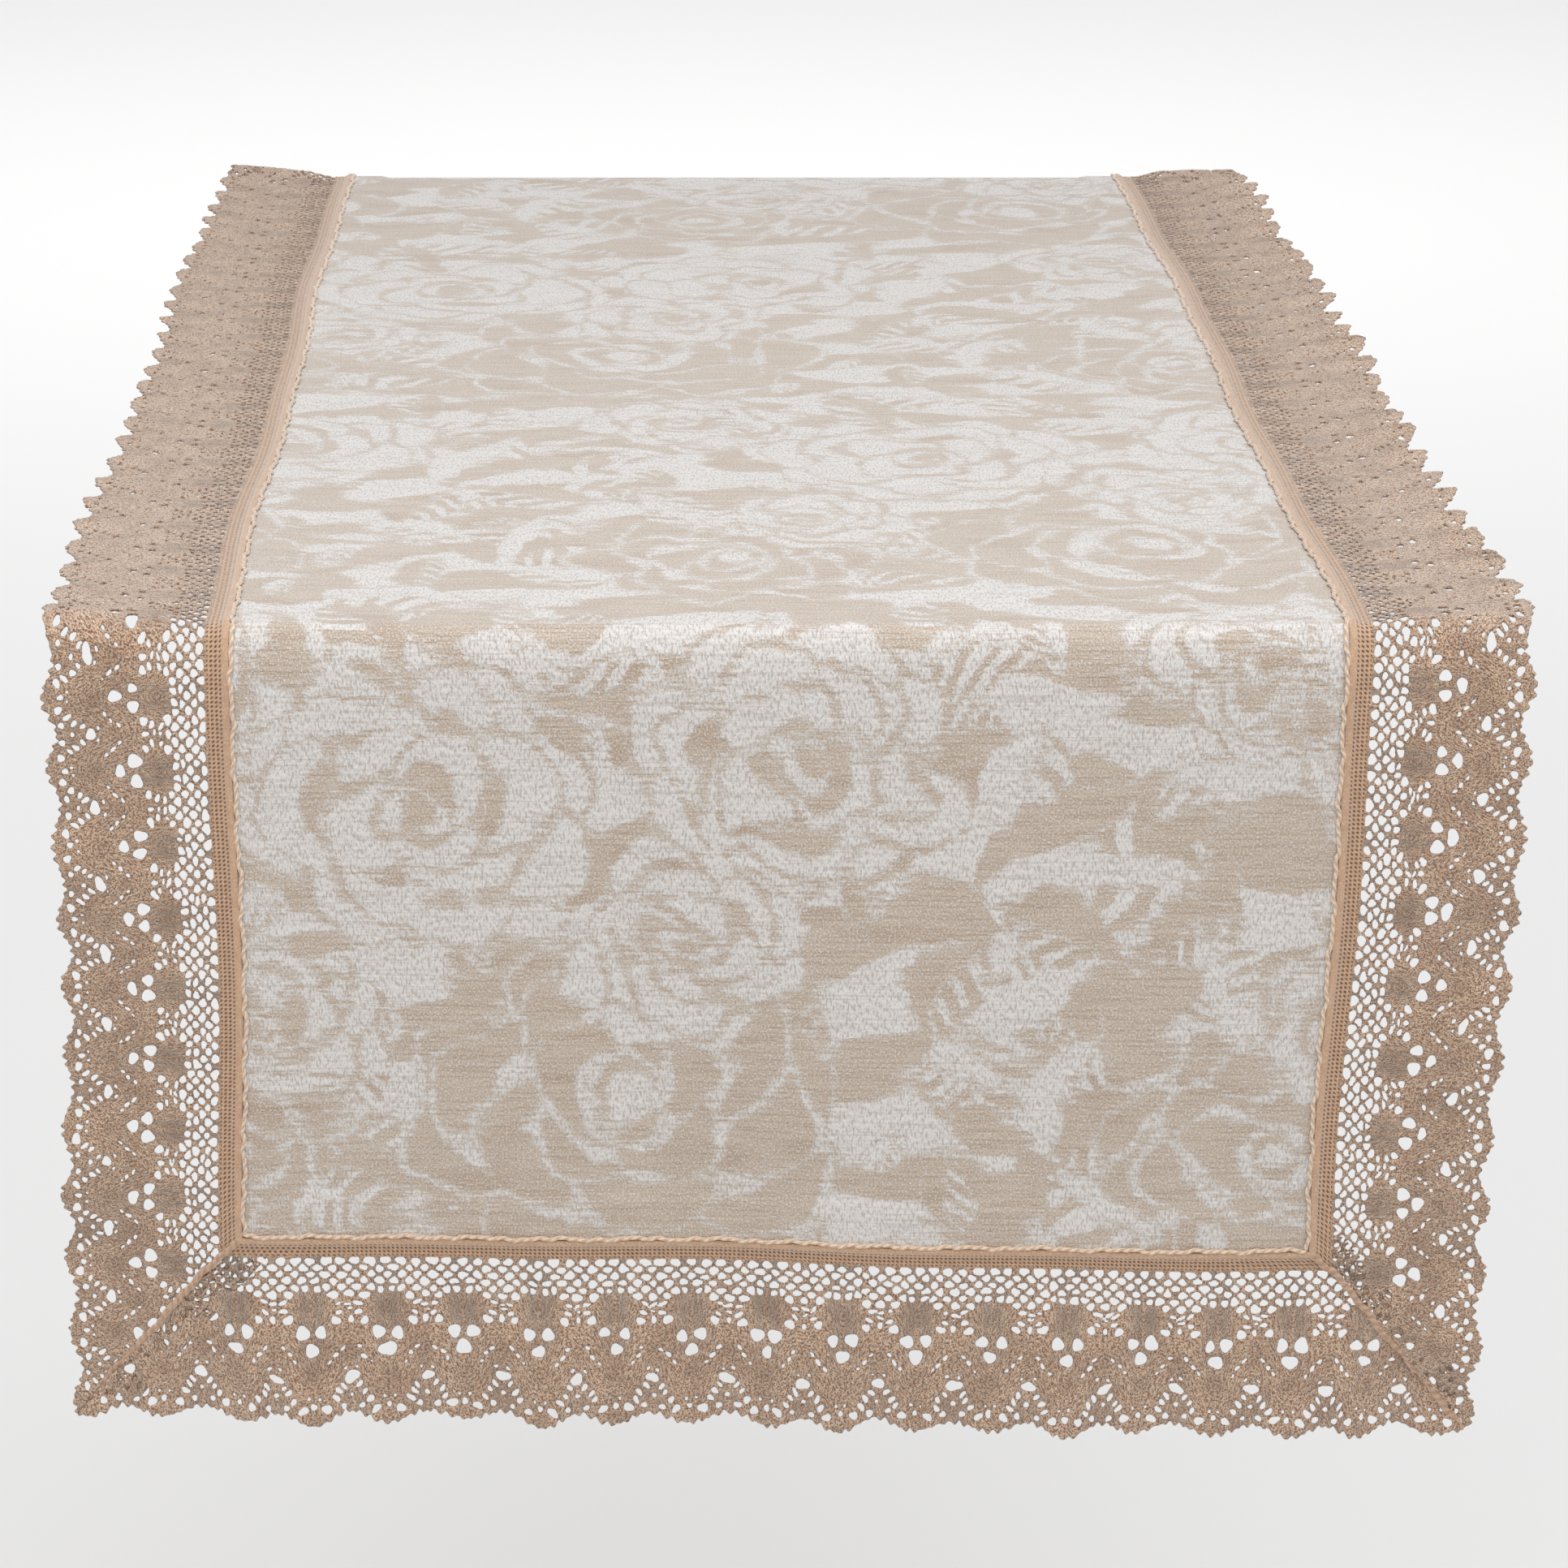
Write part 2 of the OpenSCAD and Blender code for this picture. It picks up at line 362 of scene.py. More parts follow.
def punch(nearest, second, u, v, hole):
    """Notes the distance to one hole, a little off its drawn place and shape, around it."""
    cu, cv, a, b, turn = hole
    cu += rng.normal(0, 0.2)
    cv += rng.normal(0, 0.25)
    a *= 1 + rng.normal(0, 0.12)
    b *= 1 + rng.normal(0, 0.12)
    turn = math.radians(turn + rng.normal(0, 14))
    power = 1.5 + 0.9 * rng.random()
    phase = rng.uniform(0, 2 * math.pi)
    near = max(a, b) + 1.5
    i = slice(*np.searchsorted(v, [cv - near, cv + near]))
    j = slice(*np.searchsorted(u, [cu - near, cu + near]))
    if i.start < i.stop and j.start < j.stop:
        far = outside_oval(u[None, j] - cu, v[i, None] - cv, a, b, turn, power, phase)
        second[i, j] = np.minimum(second[i, j], np.maximum(nearest[i, j], far))
        nearest[i, j] = np.minimum(nearest[i, j], far)


def lace_field(u, v, pitch, tip, slack=lambda v: 0):
    """How far inside the lace's threads each point of the grid u by v is: negative in a hole.

    slack tells how much the holes have closed up where the lace isn't stretched."""
    scale = pitch / REPEAT
    along = (v - tip) / scale
    nearest = np.full((len(v), len(u)), 3.0)
    second = nearest.copy()
    holes = scallop_holes()
    for k in range(math.floor(along[0] / REPEAT) - 1, math.ceil(along[-1] / REPEAT) + 2):
        for cu, cv, a, b, turn in holes:
            at = tip + scale * (cv + k * REPEAT)
            shrink = 1 - SLACK_LOSS * slack(at)
            punch(nearest, second, u, v, (cu, at, a * shrink, b * scale * shrink, turn))
    field = np.maximum(nearest, BAR - (second - nearest))
    edge = (outer_edge(along)[:, None] - u[None, :]) * 0.8
    heading = u[None, :] - BAND_W + 0.8
    return np.minimum(np.minimum(field, edge), heading)


def to_nearest(v, pitch, tip):
    """Distance along to the nearest scallop's tip, in layout millimetres."""
    along = (v - tip) / pitch
    return (along - np.round(along)) * REPEAT


def relief(u, v):
    """Extra height of the trail's ringed eyes and of the spiders, v from the nearest tip."""
    from_valley = VALLEY - np.abs(v)
    height = 0
    for centre, along, spread in [
        (SPIDER_U, v, 3.4), (EYE_TIP_U, v, 4.6), (EYE_VALLEY_U, from_valley, 4.4),
    ]:
        ring = np.hypot(u - centre, along)
        wound = np.cos(2 * math.pi * ring / 1.3 + 2 * np.sin(u + 0.7 * v))
        rings = 0.05 * wound * np.exp(-(ring / 2.2) ** 4)
        height = height + (0.16 + rings) * np.exp(-(ring / spread) ** 4)
    return height


TRAIL_U = 35.6             # middle of the dense trail that winds round the eyes
TRAIL_SWING = 4.9


def trail_side(u, v):
    """How far a point is from the middle of the trail."""
    turn = 2 * math.pi / REPEAT
    middle = TRAIL_U + TRAIL_SWING * np.cos(turn * v)
    slope = TRAIL_SWING * turn * np.sin(turn * v)
    return (u - middle) / np.hypot(1, slope)


def solid_triangles(field):
    """Marches over the grid: its kept corners, the edges that cross field = 0, and the triangles."""
    rows, columns = field.shape
    ids = np.arange(rows * columns).reshape(rows, columns)
    a, b, c, d = ids[:-1, :-1], ids[1:, :-1], ids[1:, 1:], ids[:-1, 1:]
    odd = (np.add.outer(np.arange(rows - 1), np.arange(columns - 1)) % 2 == 1)[..., None]
    first = np.where(odd, np.stack([a, b, c], -1), np.stack([a, b, d], -1)).reshape(-1, 3)
    other = np.where(odd, np.stack([a, c, d], -1), np.stack([b, c, d], -1)).reshape(-1, 3)
    triangles = np.concatenate([first, other])
    inside = (field > 0).ravel()
    count = inside[triangles].sum(1)
    whole = triangles[count == 3]
    corner = triangles[count == 1]
    corner = np.take_along_axis(corner, (inside[corner].argmax(1)[:, None] + [0, 1, 2]) % 3, 1)
    cut = triangles[count == 2]
    cut = np.take_along_axis(cut, ((~inside[cut]).argmax(1)[:, None] + [0, 1, 2]) % 3, 1)
    crossing = np.concatenate([corner[:, [0, 1]], corner[:, [0, 2]], cut[:, [1, 0]], cut[:, [2, 0]]])
    edges, place = np.unique(crossing, axis=0, return_inverse=True)
    place = place.ravel() + rows * columns
    ab, ac, ba, ca = np.split(place, np.cumsum([len(corner), len(corner), len(cut)]))
    return edges, np.concatenate([
        whole,
        np.stack([corner[:, 0], ab, ac], 1),
        np.stack([ba, cut[:, 1], cut[:, 2]], 1),
        np.stack([ba, cut[:, 2], ca], 1),
    ])


def open_edges(triangles):
    """The directed edges that only one of the triangles has."""
    edges = np.concatenate([triangles[:, [0, 1]], triangles[:, [1, 2]], triangles[:, [2, 0]]])
    _, place, count = np.unique(np.sort(edges, 1), axis=0, return_inverse=True, return_counts=True)
    return edges[count[place.ravel()] == 1]


def lace_solid(name, u, v, field, thickness, place, pitch, tip):
    """A closed lace mesh: rounded threads where field is above 0, with holes cut right through."""
    edges, top = solid_triangles(field)
    start, stop = edges.T
    flat = field.ravel()
    share = np.clip(flat[start] / (flat[start] - flat[stop]), 0.08, 0.92)

    def spread(values):
        values = values.ravel()
        return np.concatenate([values, values[start] * (1 - share) + values[stop] * share])

    uu, vv = (spread(w) for w in np.meshgrid(u, v))
    depth = spread(field)
    depth[field.size:] = 0
    thick = spread(thickness)
    height = thick * np.sqrt(1 - (1 - np.clip(depth / ROUNDING, 0, 1)) ** 2)
    total = len(uu)
    above = np.arange(total)
    shared = above >= field.size
    below = np.where(shared, above, above + total)
    walls = open_edges(top)
    p, q = walls[~shared[walls].all(1)].T
    wall_a = np.stack([q, p, below[p]], 1)
    wall_b = np.stack([q, below[p], below[q]], 1)
    wall = np.concatenate([wall_a[~shared[p]], wall_b[~shared[q]]])
    triangles = np.concatenate([top, below[top][:, ::-1], wall])
    used, index = np.unique(triangles, return_inverse=True)
    source = used % total
    side = np.where(used < total, 1, -1)
    points = place(uu[source], vv[source], side * height[source])
    values = lace_values(uu[source], vv[source], depth[source], pitch, tip)
    return make_piece(name, points, index.reshape(-1, 3), [LACE], values)


# ---- The jacquard's figure: roses and leaves ----

FIGURE_LENGTH = 214.0      # from one repeat of the figure to the next
FIGURE_WIDTH = 2 * HALF_W
OUTLINE = 1.5              # width of the broken line round a petal
WARP = 1.8                 # how far the weave pulls the drawn shapes about
SPRIGS = 60                # small leaves in one repeat
PETAL_RINGS = [            # how far out, how many petals, their size, as shares of the rose's radius
    (0.72, 8, 0.38), (0.5, 6, 0.37), (0.27, 4, 0.3), (0.08, 2, 0.17),
]
ROSES = [                  # across, down from the repeat's start, radius, tone of the petals' rims
    (-103, 46, 46, 1), (3, 33, 42, 1), (-44, 137, 56, -1), (-28, 88, 31, 1),
    (138, 150, 38, -1), (128, 4, 30, 1), (-142, 112, 26, 1),
]
LEAVES = [                 # across, down, length, heading in degrees, half width, tone of its first half
    (52, 72, 54, -68, 14, 1), (54, 72, 64, -33, 16, -1), (56, 74, 62, -6, 13, 1),
    (60, 76, 48, 24, 11, -1), (72, 152, 46, -118, 13, -1), (74, 154, 48, -72, 12, 1),
    (78, 152, 46, -28, 13, -1), (76, 158, 40, 32, 11, 1), (-128, 138, 36, -60, 10, 1),
    (-132, 160, 42, 12, 11, -1), (24, 186, 48, 10, 13, 1), (22, 190, 46, 60, 12, -1),
    (40, 112, 32, -60, 10, -1), (38, 116, 32, 30, 10, 1), (-66, 4, 34, 12, 9, 1),
    (118, 100, 36, 60, 11, 1),
]


def overlay(field, shape, tone):
    """Lays a shape (positive inside) with its own tones over the field."""
    edge = np.abs(shape)
    over = np.sign(tone) * np.minimum(np.abs(tone), edge)
    under = np.sign(field) * np.minimum(np.abs(field), edge)
    return np.where(shape > 0, over, under)


def around(x, y, centre, radius):
    """The part of the grid near a centre, as an index, and its places from that centre."""
    i = np.flatnonzero(np.abs(y[:, 0] - centre[1]) < radius + 2 * WARP)
    j = np.flatnonzero(np.abs(x[0] - centre[0]) < radius + 2 * WARP)
    part = np.ix_(i, j)
    return part, x[part] - centre[0], y[part] - centre[1]


def petal(field, x, y, place, radius, facing, tone, draw):
    """A round petal with a lobed edge, its rim of one tone and its hollow of the other."""
    lobe = draw.uniform(-0.6, 0.6)
    shift = draw.uniform(0.3, 0.6) * radius
    hollow_r = draw.uniform(0.55, 0.85) * radius
    part, dx, dy = around(x, y, place, 1.1 * radius + 4)
    angle = np.arctan2(dy, dx) - facing
    lobes = 0.055 * np.cos(3 * angle + lobe) + 0.03 * np.cos(7 * angle)
    shape = radius * (1 + lobes) - np.hypot(dx, dy * 1.08)
    hollow = np.hypot(dx + shift * math.cos(facing), dy + shift * math.sin(facing))
    line = OUTLINE * (1 + 0.6 * np.sin(2 * angle + 5 * lobe))
    rimmed = overlay(field[part], shape + line, -9.0 * tone)
    field[part] = overlay(rimmed, shape, tone * (hollow - hollow_r))


def rose(field, x, y, centre, radius, tone, draw):
    """A cabbage rose: rings of petals, each ring over the one outside it."""
    turn = draw.uniform(0, 6)
    for ring, (out, count, size) in enumerate(PETAL_RINGS):
        for k in range(count):
            angle = turn + ring + 2 * math.pi * (k + draw.uniform(-0.2, 0.2)) / count
            from_middle = out * radius * draw.uniform(0.9, 1.08)
            place = (
                centre[0] + from_middle * math.cos(angle),
                centre[1] + 0.86 * from_middle * math.sin(angle),
            )
            petal(field, x, y, place, size * radius * draw.uniform(0.85, 1.2), angle, tone, draw)


def leaf(field, x, y, base, length, heading, width, tone, draw):
    """A pointed leaf with a midrib, a veined half of one tone and a plain half of the other."""
    bend = draw.uniform(-0.35, 0.35) * width
    part, dx, dy = around(x, y, base, length + width)
    c, s = math.cos(heading), math.sin(heading)
    along = (c * dx + s * dy) / length
    kept = np.clip(along, 0, 1)
    across = c * dy - s * dx - bend * np.sin(math.pi * kept)
    swell = width * np.sin(math.pi * kept ** 0.75) + 0.06 * width * np.sin(12 * math.pi * along)
    shape = np.where(kept == along, swell - np.abs(across), -3)
    veins = 0.5 * np.sin(2 * math.pi * (5 * along + np.abs(across) / width)) + 0.08
    veined = np.maximum(across + 0.8, width * 0.6 * veins)
    midrib = 0.5 - np.abs(across + 0.2)
    plain = np.where(across < 0.5, midrib, across - 0.5)
    halves = np.where(across < -0.8, veined, plain)
    field[part] = overlay(field[part], shape, tone * halves)


def waves(x, y, size, stretch, draw):
    """Smooth uneven values between about -1 and 1, in patches of a size, longer across."""
    total = np.zeros((len(y), len(x)))
    for _ in range(14):
        angle, phase = draw.uniform(0, 2 * math.pi, 2)
        step = 2 * math.pi / (size * draw.uniform(0.7, 1.6))
        across = math.cos(angle) * x[None] / stretch
        total += np.sin(step * (across + math.sin(angle) * y[:, None]) + phase)
    return total / math.sqrt(7)


def sprigs(field, x, y, shift, start):
    """Small leaves strewn over the ground between the roses."""
    draw = np.random.default_rng(61)
    for k in range(SPRIGS):
        across = (k * 0.618 % 1 - 0.5) * FIGURE_WIDTH + shift
        down = start - (k + draw.uniform(0, 1)) / SPRIGS * FIGURE_LENGTH
        length, heading = draw.uniform(14, 36), draw.uniform(0, 2 * math.pi)
        tone = 1 if k % 2 else -1
        leaf(field, x, y, (across, down), length, heading, length * 0.3, tone, draw)


def figure(x, t):
    """The figure over columns x and rows t: millimetres inside its white parts, negative in the beige."""
    draw = np.random.default_rng(5)
    field = 4.5 * waves(x, t, 34, 1.5, draw) + 1.5 * waves(x, t, 9, 3, draw) - 0.6
    pull_x = WARP * waves(x, t, 40, 1, draw) + 0.2 * WARP * waves(x, t, 9, 1, draw)
    pull_t = WARP * waves(x, t, 34, 1, draw) + 0.2 * WARP * waves(x, t, 8, 1, draw)
    x, t = x[None] + pull_x, t[:, None] + pull_t
    fold = FLAT_HALF + FOLD_LENGTH
    for k in range(6):
        start = (k - 1) * FIGURE_LENGTH - fold
        for copy in (-1, 0, 1):
            shift = (copy + (k + 1) % 2 / 2) * FIGURE_WIDTH
            draw = np.random.default_rng(23 + k)
            sprigs(field, x, t, shift, start)
            for across, down, length, heading, width, tone in LEAVES:
                base = (across + shift, start - down)
                leaf(field, x, t, base, length, -math.radians(heading), width, tone, draw)
            for across, down, radius, tone in ROSES:
                rose(field, x, t, (across + shift, start - down), radius, tone, draw)
    return field


# ---- Pieces ----

def stand_for(nodes):
    """Hides the CAD nodes that a piece stands for."""
    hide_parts(*nodes)


def on_drop(piece, end, slot, *nodes):
    """Fastens a piece to its drop."""
    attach(piece, END_NAME[end] + "_drop")
    stand_for(nodes)


def over_edge(piece, end, slot, *nodes):
    """Bakes a piece's place into its mesh, and hides the CAD nodes that it stands for."""
    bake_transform(piece)
    stand_for(nodes)


CLOTH_GRID = 1.42          # from one point of the cloth's mesh to the next
FOLD_GRID = 0.8            # the same along the cloth where it bends
UNDERSIDE_RATIO = 4        # columns of the cloth's top to one of its underside
HEM_GRID = 2.4


def cloth_stops(limit):
    """Rows of the cloth from its middle to a limit: closer together where it bends."""
    bend = (FLAT_HALF - 12, FLAT_HALF + FOLD_LENGTH + 12)
    return np.concatenate([
        steps(0, bend[0], CLOTH_GRID)[:-1],
        steps(*bend, FOLD_GRID)[:-1],
        steps(bend[1], limit, CLOTH_GRID),
    ])


def woven_in(across, along):
    """What the cloth's material reads: a place on the cloth in centimetres, and the figure."""
    t, x = np.meshgrid(along, across, indexing="ij")
    return {
        "cloth": np.stack([x.ravel(), t.ravel(), np.zeros(x.size)], 1) * 0.1,
        "figure": figure(across, along).ravel(),
    }


def panel(end):
    """Half of the jacquard, from the middle of the table to the bottom of a drop."""
    name = END_NAME[end]
    limit = PANEL_END + LAP
    width = 2 * (HALF_W + LAP)
    columns = UNDERSIDE_RATIO * round(width / CLOTH_GRID / UNDERSIDE_RATIO)
    across = np.linspace(-width / 2, width / 2, columns + 1)
    along = end * cloth_stops(limit)
    t, x = np.meshgrid(along, across, indexing="ij")
    to_hem = np.minimum(HALF_W - np.abs(x), PANEL_END - np.abs(t))
    low = CLOTH_T * ramp(-to_hem, -HEM_W - 2.5, -HEM_W + 1)
    high = low + CLOTH_T
    both = [JACQUARD, JACQUARD_BACK]
    values = woven_in(across, along)
    piece = slab(f"cloth_{name}", x, t, low, high, drape, both, values, UNDERSIDE_RATIO)
    over_edge(piece, end, "jacquard", f"panel_{name}", f"panel_fold_{name}", "panel_top")


def hem_strip(name, across, along):
    """The turned-in edge of the panel under its border, from the columns and rows that it covers."""
    t, x = np.meshgrid(along, across, indexing="ij")
    low = np.full(x.shape, 0.02)
    high = np.full(x.shape, CLOTH_T - 0.04)
    return slab(name, x, t, low, high, drape, [JACQUARD], woven_in(across, along))


def side_hem(side, end):
    across = side * steps(HALF_W - HEM_W, HALF_W + LAP - 0.1, HEM_GRID)
    place = corner_name(side, end)
    piece = hem_strip(f"hem_turning_{place}", across, end * cloth_stops(PANEL_END + LAP))
    over_edge(piece, end, "jacquard_reverse", f"hem_{place}", f"hem_{SIDE_NAME[side]}_top")


def end_hem(end):
    down = end * steps(PANEL_END - HEM_W, PANEL_END + LAP - 0.1, HEM_GRID)
    inner = HALF_W - HEM_W - 0.2
    name = END_NAME[end]
    piece = hem_strip(f"hem_turning_{name}", steps(-inner, inner, HEM_GRID), down)
    on_drop(piece, end, "jacquard_reverse", f"hem_end_{name}")


# ---- The heading band, a tape with an open weave beside it ----

BAND_PITCH = 1.26          # from one of its threads to the next
BAND_TAPE = [0.3, 0.75, 1.25, 1.75, 2.2]
BAND_WEAVE = np.arange(2.6, BAND_W + 0.3, BAND_PITCH / 2)


def band_heights(u, rows):
    """Middle, half thickness and openness of the band over the columns u and a number of rows."""
    lies = HEM_T + 0.35 - (HEM_T - 0.3) * ramp(u, LAP - 0.4, LAP + 1.4)
    tape = np.clip((u - BAND_TAPE[0]) / (BAND_TAPE[-1] - BAND_TAPE[0]), 0, 1)
    round_tape = 0.25 + 0.45 * np.sin(math.pi * tape)
    columns = np.arange(len(u)) - len(BAND_TAPE)
    i, j = np.meshgrid(np.arange(rows), columns, indexing="ij")
    lengthwise = j % 2 == 1
    crossing = i % 2 == 0
    over = (i // 2 + j // 2) % 2 == 0
    empty = ~lengthwise & ~crossing
    thread = np.where(lengthwise, 0.36 + 0.12 * np.where(over, 1, -1) * crossing, 0.3)
    thread = np.where(empty, 0.1, thread)
    in_weave = columns >= 0
    return lies, np.where(in_weave, thread, round_tape), in_weave & empty


def band_strip(name, along, place, limit, reach_on):
    """A band along rows up to the limit; its mitred end reaches on past it by reach_on of each u."""
    u = np.concatenate([BAND_TAPE, BAND_WEAVE])
    v, uu = np.meshgrid(along, u, indexing="ij")
    v = v * (1 + reach_on(uu) / limit * ramp(np.abs(v), limit - 30, limit))
    lies, half, gap = band_heights(u, len(along))
    values = {"band": np.stack([uu.ravel(), v.ravel(), gap.ravel()], 1)}
    return slab(name, uu, v, lies - np.minimum(half, 0.3), lies + half, place, [BAND], values)


def side_band(side, end):
    along = end * np.arange(0, PANEL_END + BAND_PITCH / 2, BAND_PITCH / 2)
    place = corner_name(side, end)
    piece = band_strip(f"heading_{place}", along, place_side(side), PANEL_END, end_reach)
    over_edge(piece, end, "heading_band", f"band_{place}", f"band_{SIDE_NAME[side]}_top")


def end_band(end):
    along = np.arange(-HALF_W, HALF_W + BAND_PITCH / 2, BAND_PITCH / 2)
    name = END_NAME[end]
    piece = band_strip(f"heading_{name}", along, place_end(end), HALF_W, lambda u: u)
    on_drop(piece, end, "heading_band", f"band_end_{name}")


# ---- Cords: the whipped edge between panel and band, and the mitre seams ----

SIDE_CORD_R = 0.62
END_CORD_R = 0.66
MITRE_CORD_R = 1.0
CORD_TWIST = 2.6           # length of one turn of the cord's plies
MITRE_TWIST = 3.1


def cord_mesh(name, a, b, n, radius, twist, place, material):
    """A two-ply cord along the cloth coordinates a, b, at a height n off the cloth's table side."""
    sides = 8
    angle = np.arange(sides) * 2 * math.pi / sides
    length = np.concatenate([[0], np.cumsum(np.hypot(np.diff(a), np.diff(b)))])
    tangent = np.stack([np.gradient(a), np.gradient(b)], 1)
    tangent /= np.linalg.norm(tangent, axis=1)[:, None]
    ply = 1 + 0.14 * np.cos(2 * angle[None] - 2 * math.pi * length[:, None] / twist)
    r = radius * ply
    r[[0, -1]] *= 0.4
    sideways = r * np.cos(angle)
    aa = a[:, None] + sideways * tangent[:, 1:]
    bb = b[:, None] - sideways * tangent[:, :1]
    nn = n + r * np.sin(angle)
    points = place(aa.ravel(), bb.ravel(), nn.ravel())
    ids = np.arange(len(a) * sides).reshape(len(a), sides)
    cap = np.stack([np.zeros(sides - 2, int), np.arange(1, sides - 1), np.arange(2, sides)], 1)
    rings = between_columns(ids, np.roll(ids, -1, 1))
    triangles = np.concatenate([rings, cap, cap[:, ::-1] + ids[-1, 0]])
    values = {"thread": np.stack([np.repeat(length, sides), np.tile(angle, len(a)), aa.ravel() * 0], 1)}
    return make_piece(name, points, triangles, [material], values)


def wander(along, seed):
    """Small uneven shifts of a hand-guided seam."""
    draw = np.random.default_rng(seed)
    shift = 0
    for size, height in [(5.5, 0.18), (9, 0.22), (23, 0.3)]:
        shift = shift + height * np.sin(2 * math.pi * along / size + draw.uniform(0, 6))
    return shift


def side_cord(side, end):
    along = steps(0, PANEL_END - 0.3, 0.55)
    place = corner_name(side, end)
    u = -0.3 + wander(along, 10 + side + 3 * end)
    piece = cord_mesh(
        f"whipping_{place}", u, end * along, HEM_T + 0.5, SIDE_CORD_R, CORD_TWIST, place_side(side), CORD,
    )
    over_edge(piece, end, "sewing_thread", f"stitches_{place}", f"stitches_{SIDE_NAME[side]}_top")


def end_cord(end):
    along = steps(-HALF_W + 0.3, HALF_W - 0.3, 0.55)
    u = -0.3 + wander(along, 30 + end)
    name = END_NAME[end]
    piece = cord_mesh(
        f"whipping_{name}", u, along, HEM_T + 0.55, END_CORD_R, CORD_TWIST, place_end(end), CORD,
    )
    on_drop(piece, end, "sewing_thread", f"stitches_end_{name}")


def mitre_cord(side, end):
    u = steps(0.5, LACE_W - 2.5, 0.4)
    x = side * (HALF_W + u)
    t = end * (mitre_t(u) + 1.5 * wander(u, 20 + side + 3 * end))
    place = corner_name(side, end)
    height = LACE_MID + 0.6
    piece = cord_mesh(f"corner_seam_{place}", x, t, height, MITRE_CORD_R, MITRE_TWIST, drape, SEAM)
    on_drop(piece, end, "sewing_thread", f"mitre_seam_{place}")


# ---- Lace pieces ----

LACE_MID = 0.65
RUFFLE = {LEFT: 1.1, RIGHT: 2.8}       # how high the lace's tips lift off the table


def lace_thickness(u, v, pitch, tip):
    """Half the lace's thickness over the grid: more in its dense parts, and knotty all over."""
    near = to_nearest(v, pitch, tip)[:, None]
    dense = ramp(u, 14, 20)[None]
    knots = np.clip(rng.normal(0, 0.07, (len(v), len(u))), -0.15, 0.15)
    return 0.36 + 0.1 * dense + knots + relief(u[None], near)


def lace_values(u, v, depth, pitch, tip):
    """What the lace's material reads: its layout, and how far in a thread and from an eye it is."""
    near = to_nearest(v, pitch, tip)
    from_eye = np.minimum(
        np.minimum(np.hypot(u - SPIDER_U, near), np.hypot(u - EYE_TIP_U, near)),
        np.hypot(u - EYE_VALLEY_U, VALLEY - np.abs(near)),
    )
    layout = np.stack([u, v, trail_side(u, near)], 1)
    return {"lace": layout, "depth": depth, "ring": from_eye}


def side_height(side, tip):
    """How far the lace's middle stands off the cloth's table side."""
    def height(u, v):
        out = ramp(u, 14, LACE_W)
        flat = ramp(FLAT_HALF - np.abs(v), -6, 14)
        near = to_nearest(v + 2.5 * np.sin(v / 31), SIDE_PITCH, tip) / VALLEY
        skewed = np.abs(near - 0.25) / (1 - 0.25 * np.sign(near - 0.25))
        uneven = 1 + 0.3 * np.sin(v / 17 + side) + 0.25 * np.sin(v / 9.3)
        pleat = RUFFLE[side] * uneven * (1 - np.clip(skewed, 0, 1)) ** 1.5
        hang = 1.3 * np.sin(v / 13 + 2 * side) + 0.9 * np.sin(v / 7.3)
        bulge = 2.4 * np.exp(-((np.abs(v) - FLAT_HALF - 4) / 12) ** 2) * ramp(u, BAND_W, 20)
        return LACE_MID + bulge + out * (flat * pleat + (1 - flat) * (1.2 + hang))
    return height


def end_height(u, v):
    out = ramp(u, 10, LACE_W)
    return LACE_MID + out * (1.6 + 1.5 * np.sin(v / 11.5 + 0.7) + 0.9 * np.sin(v / 6.1))


def side_pleats(side, tip):
    """How the tips of a side's scallops reach out and lean back where the lace lies on the table."""
    def moved(u, v):
        out = ramp(u, 20, LACE_W) * ramp(FLAT_HALF - np.abs(v), -6, 14)
        near = np.abs(to_nearest(v, SIDE_PITCH, tip)) / VALLEY
        uneven = 1 + 0.4 * np.sin(v / 12.7 + 2 * side)
        peak = RUFFLE[side] * uneven * (1 - near) ** 1.6
        return u + 0.75 * out * (peak - 0.35 * RUFFLE[side]), v + 1.2 * out * peak
    return moved


def lace_place(place, height, moved=lambda u, v: (u, v)):
    """A function that places the lace's points: over its ruffled middle, its pleats drawn aside."""
    return lambda u, v, n: place(*moved(u, v), height(u, v) + n)


LACE_U = np.arange(BAND_W - 1.4, LACE_W + 1.0, LACE_GRID)


def side_lace(side):
    """One side's lace: three lengths on the table and a drop at each end."""
    limit = PANEL_END + END_LACE_W + 2
    v = np.arange(-limit, limit + LACE_GRID / 2, LACE_GRID)
    tip = -PANEL_END - SIDE_PHASE[side]
    field = lace_field(LACE_U, v, SIDE_PITCH, tip, lambda at: ramp(FLAT_HALF - abs(at), 0, 25))
    mitre = (mitre_t(LACE_U)[None] - np.abs(v)[:, None]) * 0.7
    field = np.minimum(field, mitre)
    thickness = lace_thickness(LACE_U, v, SIDE_PITCH, tip)
    place = lace_place(place_side(side), side_height(side, tip), side_pleats(side, tip))
    third = SPLIT / 3
    name = SIDE_NAME[side]
    lengths = [
        ("front", -limit, -SPLIT), ("near", -SPLIT, -third), ("middle", -third, third),
        ("far", third, SPLIT), ("back", SPLIT, limit),
    ]
    for label, start, stop in lengths:
        i = slice(np.searchsorted(v, start), np.searchsorted(v, stop) + 1)
        piece = lace_solid(
            f"bobbin_lace_{name}_{label}", LACE_U, v[i], field[i], thickness[i], place,
            SIDE_PITCH, tip,
        )
        if label in ("front", "back"):
            end = FRONT if label == "front" else BACK
            over_edge(piece, end, "lace", f"lace_{name}_{label}", f"lace_fold_{name}_{label}")
        else:
            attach(piece, "flat_stretch")
            stand_for([f"lace_{name}_top"])


